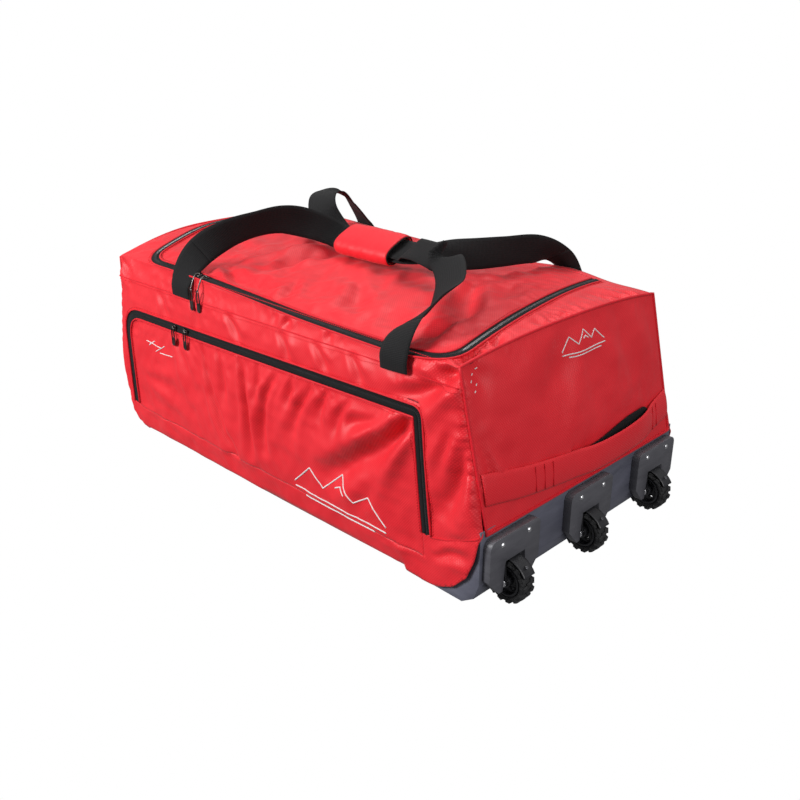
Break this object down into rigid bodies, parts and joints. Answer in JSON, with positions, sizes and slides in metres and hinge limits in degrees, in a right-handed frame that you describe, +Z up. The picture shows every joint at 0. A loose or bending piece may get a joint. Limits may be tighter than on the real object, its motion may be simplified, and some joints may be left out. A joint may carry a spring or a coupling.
{
  "type": "rolling duffel bag",
  "caption": "Large soft box-shaped duffel with a zipped lid, zipped front pocket, carry handles joined by a grip wrap, and wheels in a moulded tray at one end.",
  "frame": {"origin": "on the floor under the middle of the bag, on the flat underside of the bottom panel", "axes": "+X towards the wheel end, -Y towards the front pocket, +Z up"},
  "size_m": [0.9657, 0.4876, 0.4479],
  "materials": {
    "red_polyester": "satin woven polyester with a fine diamond weave",
    "lining": "matt lining",
    "black_webbing": "ribbed webbing",
    "zip_tape": "woven zip tape with coil teeth",
    "zip_metal": "dark nickel",
    "tray_plastic": "fine moulded grain",
    "board_plastic": "smooth",
    "tyre": "moulded rubber",
    "hub_plastic": "moulded",
    "bright_steel": "bright rivet",
    "fork_steel": "pressed sheet"
  },
  "bodies": {
    "bag_body": {"bottom_panel": "red_polyester", "stiffener_board": "board_plastic", "far_end_panel": "red_polyester", "wheel_end_panel": "red_polyester", "front_panel": "red_polyester", "back_panel": "red_polyester", "pocket_lining": "lining", "top_frame": "red_polyester", "lid_zip_body_tape": "zip_tape", "pocket_zip_body_tape": "zip_tape", "wheel_end_grab_handle": "red_polyester", "far_end_tow_handle": "black_webbing", "wheel_tray": "tray_plastic", "wheel_housing_front": "tray_plastic", "wheel_housing_middle": "tray_plastic", "wheel_housing_rear": "tray_plastic", "wheel_fork_front": "fork_steel", "wheel_fork_middle": "fork_steel", "wheel_fork_rear": "fork_steel", "axle_front": "bright_steel", "axle_middle": "bright_steel", "axle_rear": "bright_steel", "rivet_front_left": "bright_steel", "rivet_front_right": "bright_steel", "rivet_middle_left": "bright_steel", "rivet_middle_right": "bright_steel", "rivet_rear_left": "bright_steel", "rivet_rear_right": "bright_steel"},
    "lid": {"lid_panel": "red_polyester", "lid_zip_lid_tape": "zip_tape"},
    "pocket_front": {"pocket_flap": "red_polyester", "pocket_zip_flap_tape": "zip_tape"},
    "lid_slider_left": {"lid_slider_left": "zip_metal"},
    "lid_slider_right": {"lid_slider_right": "zip_metal"},
    "lid_pull_left": {"lid_pull_left": "zip_metal"},
    "lid_pull_right": {"lid_pull_right": "zip_metal"},
    "pocket_slider_left": {"pocket_slider_left": "zip_metal"},
    "pocket_slider_right": {"pocket_slider_right": "zip_metal"},
    "pocket_pull_left": {"pocket_pull_left": "zip_metal"},
    "pocket_pull_right": {"pocket_pull_right": "zip_metal"},
    "front_handle_ends": {"front_strap_left": "black_webbing", "front_strap_right": "black_webbing"},
    "front_handle": {"front_strap_middle": "black_webbing", "grip_wrap": "red_polyester"},
    "rear_handle_ends": {"rear_strap_left": "black_webbing", "rear_strap_right": "black_webbing"},
    "rear_handle": {"rear_strap_middle": "black_webbing"},
    "wheel_front": {"tyre_front": "tyre", "hub_front": "hub_plastic", "bush_front": "board_plastic"},
    "wheel_middle": {"tyre_middle": "tyre", "hub_middle": "hub_plastic", "bush_middle": "board_plastic"},
    "wheel_rear": {"tyre_rear": "tyre", "hub_rear": "hub_plastic", "bush_rear": "board_plastic"}
  },
  "joints": [
    {"name": "lid_hinge", "type": "hinge", "parent": "bag_body", "child": "lid", "pos_m": [0, 0.212, 0.331], "axis": [-1, 0, 0], "range_deg": [0, 100]},
    {"name": "front_handle_fold", "type": "hinge", "parent": "bag_body", "child": "front_handle_ends", "pos_m": [0, -0.2405, 0.298], "axis": [1, 0, 0], "range_deg": [0, 172], "deforming": ["front_strap_left", "front_strap_right"]},
    {"name": "front_handle_bend", "type": "hinge", "parent": "front_handle_ends", "child": "front_handle", "pos_m": [0, -0.205, 0.368], "axis": [1, 0, 0], "range_deg": [0, 53], "deforming": ["front_strap_middle"]},
    {"name": "rear_handle_fold", "type": "hinge", "parent": "bag_body", "child": "rear_handle_ends", "pos_m": [0, 0.2405, 0.298], "axis": [-1, 0, 0], "range_deg": [0, 172], "deforming": ["rear_strap_left", "rear_strap_right"]},
    {"name": "rear_handle_bend", "type": "hinge", "parent": "rear_handle_ends", "child": "rear_handle", "pos_m": [0, 0.205, 0.374], "axis": [-1, 0, 0], "range_deg": [0, 53], "deforming": ["rear_strap_middle"]},
    {"name": "pocket_hinge", "type": "hinge", "parent": "bag_body", "child": "pocket_front", "pos_m": [0, -0.2385, 0.0478], "axis": [1, 0, 0], "range_deg": [0, 95]},
    {"name": "lid_slider_left_slide", "type": "slide", "parent": "lid", "child": "lid_slider_left", "axis": [1, 0, 0], "range_m": [-0.09, 0]},
    {"name": "lid_slider_right_slide", "type": "slide", "parent": "lid", "child": "lid_slider_right", "axis": [1, 0, 0], "range_m": [0, 0.38]},
    {"name": "pocket_slider_left_slide", "type": "slide", "parent": "pocket_front", "child": "pocket_slider_left", "axis": [0.9994, 0, 0.0349], "range_m": [-0.1, 0]},
    {"name": "pocket_slider_right_slide", "type": "slide", "parent": "pocket_front", "child": "pocket_slider_right", "axis": [0.9994, 0, 0.0349], "range_m": [0, 0.5]},
    {"name": "lid_pull_left_hinge", "type": "hinge", "parent": "lid_slider_left", "child": "lid_pull_left", "pos_m": [-0.186, -0.2399, 0.3205], "axis": [-1, 0, 0], "range_deg": [0, 110]},
    {"name": "lid_pull_right_hinge", "type": "hinge", "parent": "lid_slider_right", "child": "lid_pull_right", "pos_m": [-0.166, -0.2399, 0.3205], "axis": [-1, 0, 0], "range_deg": [0, 110]},
    {"name": "pocket_pull_left_hinge", "type": "hinge", "parent": "pocket_slider_left", "child": "pocket_pull_left", "pos_m": [-0.247, -0.244, 0.24433], "axis": [-1, 0, 0], "range_deg": [0, 110]},
    {"name": "pocket_pull_right_hinge", "type": "hinge", "parent": "pocket_slider_right", "child": "pocket_pull_right", "pos_m": [-0.211, -0.244, 0.24558], "axis": [-1, 0, 0], "range_deg": [0, 110]},
    {"name": "wheel_front_spin", "type": "hinge", "parent": "bag_body", "child": "wheel_front", "pos_m": [0.45, -0.179, 0.034], "axis": [0, 1, 0], "continuous": true},
    {"name": "wheel_middle_spin", "type": "hinge", "parent": "bag_body", "child": "wheel_middle", "pos_m": [0.45, 0, 0.034], "axis": [0, 1, 0], "continuous": true},
    {"name": "wheel_rear_spin", "type": "hinge", "parent": "bag_body", "child": "wheel_rear", "pos_m": [0.45, 0.179, 0.034], "axis": [0, 1, 0], "continuous": true}
  ],
  "couplings": [
    {"joint": "front_handle_fold", "follows": "lid_hinge", "ratio": 1.72},
    {"joint": "front_handle_bend", "follows": "lid_hinge", "ratio": 0.53},
    {"joint": "rear_handle_fold", "follows": "lid_hinge", "ratio": 1.72},
    {"joint": "rear_handle_bend", "follows": "lid_hinge", "ratio": 0.53}
  ]
}
